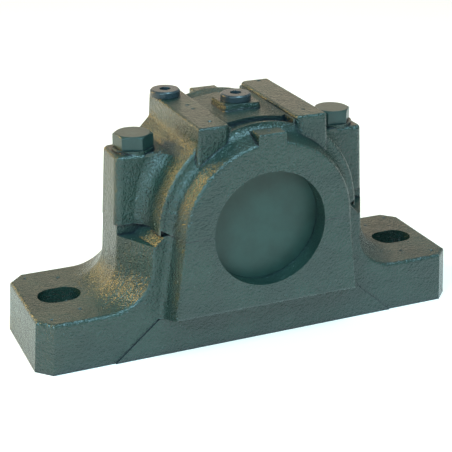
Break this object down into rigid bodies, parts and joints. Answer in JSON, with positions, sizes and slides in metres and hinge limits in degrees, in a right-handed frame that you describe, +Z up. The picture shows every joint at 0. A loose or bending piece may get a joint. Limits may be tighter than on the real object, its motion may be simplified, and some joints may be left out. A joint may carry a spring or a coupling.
{
  "type": "split plummer block",
  "caption": "Split cast-iron plummer block with slotted foot, bolted cap, blank end cover and a barrel roller bearing on a tapered sleeve for a shaft.",
  "frame": {"origin": "middle of the underside of the foot, below the bore", "axes": "+X along the foot, +Y along the bore towards the open neck, +Z up"},
  "size_m": [0.255, 0.096, 0.1327],
  "materials": {
    "housing_paint": "glossy dark green-grey paint over a rough casting",
    "cover_paint": "smooth dark green-grey paint",
    "bolt_steel": "painted over with the housing",
    "plug_steel": "dark blue-grey satin",
    "bright_steel": "ground",
    "bearing_steel": "polished",
    "sleeve_steel": "turned, lightly oiled",
    "ring_iron": "turned",
    "cage_brass": "machined",
    "seal_rubber": "matt black"
  },
  "bodies": {
    "housing": {"housing_base": "housing_paint", "housing_cap": "housing_paint", "cap_bolt_left": "bolt_steel", "cap_bolt_right": "bolt_steel", "dowel_front_left": "bright_steel", "dowel_rear_right": "bright_steel", "grease_plug_centre": "plug_steel", "grease_plug_rail": "plug_steel", "end_cover": "cover_paint", "end_cover_ring": "seal_rubber", "rear_seal_upper": "seal_rubber", "rear_seal_lower": "seal_rubber", "locating_ring_front": "ring_iron", "locating_ring_rear": "ring_iron", "bearing_outer_ring": "bearing_steel"},
    "inner": {"bearing_inner_ring": "bearing_steel", "adapter_sleeve": "sleeve_steel", "lock_washer": "bright_steel", "lock_nut": "sleeve_steel"},
    "cage": {"bearing_cage": "cage_brass", "bearing_rollers": "bearing_steel"}
  },
  "joints": [
    {"name": "inner_spin", "type": "hinge", "parent": "housing", "child": "inner", "pos_m": [0, 0, 0.07], "axis": [0, 1, 0], "continuous": true},
    {"name": "cage_orbit", "type": "hinge", "parent": "housing", "child": "cage", "pos_m": [0, 0, 0.07], "axis": [0, 1, 0], "continuous": true}
  ],
  "couplings": [
    {"joint": "cage_orbit", "follows": "inner_spin", "ratio": 0.42}
  ]
}
